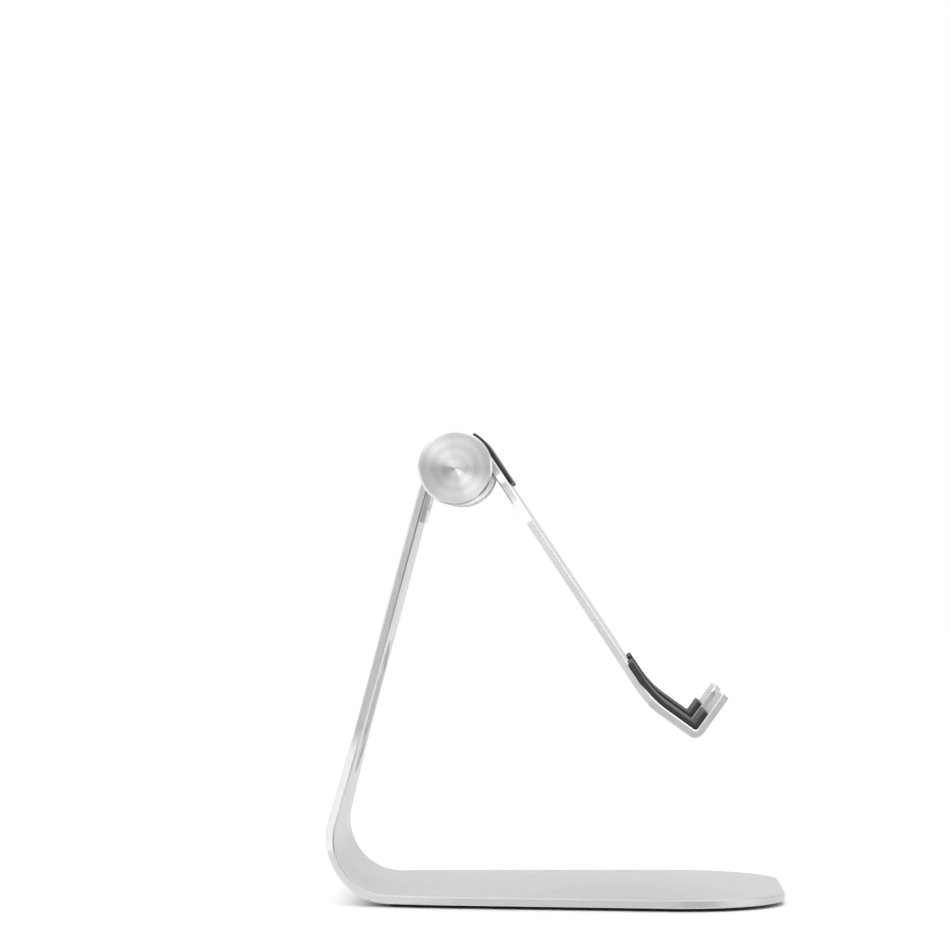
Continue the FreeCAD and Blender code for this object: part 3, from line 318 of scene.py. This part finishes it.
def brighten_rims(plate):
    """Give a bent plate's chamfers its second finish."""
    work, number = welded(plate.data)
    regions = smooth_regions(work)
    skins = [region for region in regions if is_skin(region)]
    skin_faces = {face for region in skins for face in region}
    for region in regions:
        if region not in skins and leans_on(region, skin_faces):
            for face in region:
                plate.data.polygons[face[number]].material_index = 1
    work.free()


def new_piece(name, work, body, stands_for, slot, *finishes):
    """Make an object of a bmesh that moves with a CAD body in place of a CAD node."""
    for face in work.faces:
        face.smooth = True
    for edge in work.edges:
        if len(edge.link_faces) == 2:
            edge.smooth = edge.calc_face_angle(0) < SMOOTH_BELOW
    mesh = bpy.data.meshes.new(name)
    work.to_mesh(mesh)
    work.free()
    piece = bpy.data.objects.new(name, mesh)
    bpy.context.scene.collection.objects.link(piece)
    paint(piece, *finishes)
    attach(piece, body)
    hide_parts(stands_for)
    return piece


def make_rubber(name, node_name, body, rounding):
    """A rubber sheet in the place of its CAD solid, with rounded edges."""
    work, _ = welded(frame["nodes"][node_name].data)
    bmesh.ops.dissolve_limit(work, angle_limit=math.radians(1), verts=work.verts,
                             edges=work.edges)
    sharp = [edge for edge in work.edges if edge.calc_face_angle(0) > math.radians(40)]
    bmesh.ops.bevel(work, geom=sharp, offset=rounding, offset_type="OFFSET", segments=3,
                    profile=0.5, affect="EDGES", clamp_overlap=True)
    return new_piece(name, work, body, node_name, "black_rubber", "rubber")


def spin(profile, axis_at, side, steps=192):
    """Turn a profile of (radius, distance outwards, finish) points about the hinge axis."""
    work = bmesh.new()
    rings = []
    for radius, out, _ in profile:
        if radius == 0:
            rings.append([work.verts.new((axis_at.x, side * out, axis_at.z))])
            continue
        turns = [2 * math.pi * step / steps for step in range(steps)]
        rings.append([work.verts.new((axis_at.x + radius * math.cos(turn), side * out,
                                      axis_at.z + radius * math.sin(turn))) for turn in turns])
    for index, (first, second) in enumerate(zip(rings, rings[1:])):
        finish = profile[index + 1][2]
        for step in range(steps):
            following = (step + 1) % steps
            corners = []
            for ring in (first, second):
                corners.append([ring[step % len(ring)], ring[following % len(ring)]])
            loop = [corners[0][0], *corners[1], corners[0][1]]
            face = work.faces.new(list(dict.fromkeys(loop)))
            face.material_index = finish
    bmesh.ops.recalc_face_normals(work, faces=work.faces)
    return work


def make_cap(name, node_name, knuckle_name):
    """A turned end cap: spun face, then a bevel, side and the ring that clips into the well, all in
    painted dark reflection.
    """
    low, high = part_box(node_name)
    side = 1 if low.y > 0 else -1
    radius = (high.z - low.z) / 2
    face_at = max(abs(low.y), abs(high.y))
    ring_at = min(abs(low.y), abs(high.y))
    seat_at = max(abs(corner.y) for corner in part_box(knuckle_name))
    bevel = 0.6 * MM
    ring, ring_bore = 6.55 * MM, 5.7 * MM
    # Slot 1 carries the painted dark reflection on the bevel, side and ring.
    spun, dark = 0, 1
    profile = [
        (0, face_at - 0.05 * MM, spun),
        (0.25 * MM, face_at - 0.03 * MM, spun),
        (0.4 * MM, face_at, spun),
        (radius - bevel, face_at, spun),
        (radius - 0.06 * MM, face_at - bevel + 0.06 * MM, dark),
        (radius, face_at - bevel - 0.05 * MM, dark),
        (radius, seat_at + 0.15 * MM, dark),
        (radius - 0.15 * MM, seat_at, dark),
        (ring, seat_at, dark),
        (ring, ring_at + 0.3 * MM, dark),
        (ring - 0.3 * MM, ring_at, dark),
        (ring_bore, ring_at, dark),
        (ring_bore, seat_at, dark),
        (0, seat_at, dark),
    ]
    work = spin(profile, HINGE, side)
    return new_piece(name, work, "tray", node_name, "spun_cap", "spun", "painted_dark_bevel")


# ---------------------------------------------------------------- studio


# The camera stands 1.15 m in front of the stand's middle plane.  It looks a little left of square
# to the stand's side and a little upwards, and is rolled slightly; all three are in degrees.
CAMERA_PLACE = (0.01181, -1.15, 0.10467)
CAMERA_LEFT = 1.84
CAMERA_UP = 1.037
CAMERA_ROLL = 0.23


def make_camera():
    """The camera, with a long lens."""
    data = bpy.data.cameras.new("camera")
    data.sensor_width = 36
    data.lens = 145.5
    data.clip_end = 50
    camera = bpy.data.objects.new("camera", data)
    bpy.context.scene.collection.objects.link(camera)
    forward = towards(180 + CAMERA_LEFT, CAMERA_UP)
    right = forward.cross(Vector((0, 0, 1))).normalized()
    turned = Matrix((right, right.cross(forward), -forward)).transposed().to_4x4()
    roll = Matrix.Rotation(math.radians(CAMERA_ROLL), 4, "Z")
    camera.matrix_world = Matrix.Translation(CAMERA_PLACE) @ turned @ roll
    bpy.context.scene.camera = camera


def make_floor(radius=3.0):
    """A wide round white floor."""
    work = bmesh.new()
    bmesh.ops.create_circle(work, cap_ends=True, segments=96, radius=radius)
    mesh = bpy.data.meshes.new("floor")
    work.to_mesh(mesh)
    work.free()
    floor = bpy.data.objects.new("floor", mesh)
    bpy.context.scene.collection.objects.link(floor)
    material, tree, shader = new_material("floor", Specular_IOR_Level=0.5)
    tree.links.new(tint(tree, grain(tree, 0.3), grey(0.93), grey(0.95)),
                   shader.inputs["Base Color"])
    tree.links.new(ramp(tree, grain(tree, 0.1), 0.35, 0.4), shader.inputs["Roughness"])
    mesh.materials.append(material)


def towards(azimuth, elevation):
    """A direction: azimuth 0 is where the camera stands, 90 is +X; both in degrees."""
    turn, rise = math.radians(azimuth), math.radians(elevation)
    return Vector((math.sin(turn) * math.cos(rise), -math.cos(turn) * math.cos(rise),
                   math.sin(rise)))


def add_glow(tree, level, azimuth, elevation, inner, outer, gain):
    """Add a round soft light, or a dark patch, to the surroundings."""
    place = node(tree, "ShaderNodeTexCoord")
    dot = node(tree, "ShaderNodeVectorMath", operation="DOT_PRODUCT")
    dot.inputs[1].default_value = towards(azimuth, elevation)
    tree.links.new(place.outputs["Generated"], dot.inputs[0])
    fade = node(tree, "ShaderNodeMapRange", interpolation_type="SMOOTHSTEP")
    limits = (math.cos(math.radians(outer)), math.cos(math.radians(inner)), 0.0, gain)
    for name, limit in zip(("From Min", "From Max", "To Min", "To Max"), limits):
        fade.inputs[name].default_value = limit
    tree.links.new(dot.outputs["Value"], fade.inputs["Value"])
    total = node(tree, "ShaderNodeMath", operation="ADD")
    tree.links.new(level, total.inputs[0])
    tree.links.new(fade.outputs["Result"], total.inputs[1])
    return total.outputs["Value"]


# Soft lights and dark patches round the stand: azimuth, elevation, inner and outer radius in
# degrees, and how much each adds.
GLOWS = (
    (-38, 34, 8, 24, 4.4),
    (-13, 17, 3, 18, -0.45),
    (22, 7, 4, 26, -0.95),
    (75, -4, 8, 28, 1.1),
    (0, 90, 15, 55, 0.6),
    (180, 5, 20, 60, 0.08),
)
AMBIENT = 1.0


def make_surroundings():
    """White to the camera; soft lights to what the metal reflects."""
    world = bpy.data.worlds.new("studio")
    world.use_nodes = True
    bpy.context.scene.world = world
    tree = world.node_tree
    level = node(tree, "ShaderNodeValue")
    level.outputs[0].default_value = AMBIENT
    total = level.outputs[0]
    for glow in GLOWS:
        total = add_glow(tree, total, *glow)
    tree.links.new(total, tree.nodes["Background"].inputs["Strength"])
    tree.nodes["Background"].inputs["Color"].default_value = (1, 1, 1, 1)
    backdrop = node(tree, "ShaderNodeBackground", in_Strength=1.0, in_Color=(1, 1, 1, 1))
    ray = node(tree, "ShaderNodeLightPath")
    choice = node(tree, "ShaderNodeMixShader")
    tree.links.new(ray.outputs["Is Camera Ray"], choice.inputs[0])
    tree.links.new(tree.nodes["Background"].outputs[0], choice.inputs[1])
    tree.links.new(backdrop.outputs[0], choice.inputs[2])
    tree.links.new(choice.outputs[0], tree.nodes["World Output"].inputs["Surface"])


make_camera()
make_floor()
make_surroundings()
bpy.context.scene.view_settings.view_transform = "Standard"

for name in ("base_frame", "tray_plate"):
    paint(frame["nodes"][name], "satin", "bright")
    brighten_rims(frame["nodes"][name])
for name in ("base_knuckle", "left_knuckle", "right_knuckle"):
    paint(frame["nodes"][name], "barrel")
for name in ("hinge_shaft", "drive_pin", "spring_washer", "disc_springs", "lock_nut"):
    paint(frame["nodes"][name], "steel")
for name in ("tray_screws", "upright_screws"):
    paint(frame["nodes"][name], "screw")
for name in ("left_thrust_washer", "right_thrust_washer", "left_friction_bush",
             "right_friction_bush"):
    paint(frame["nodes"][name], "nylon")
for side in ("left", "right"):
    make_cap(f"{side}_cap_turned", f"{side}_cap", f"{side}_knuckle")
    make_rubber(f"{side}_rest_rubber", f"{side}_rest_pad", "tray", 0.3 * MM)
make_rubber("upper_rubber", "upper_pad", "tray", 0.25 * MM)
make_rubber("foot_rubber", "foot_pad", "base", 0.25 * MM)
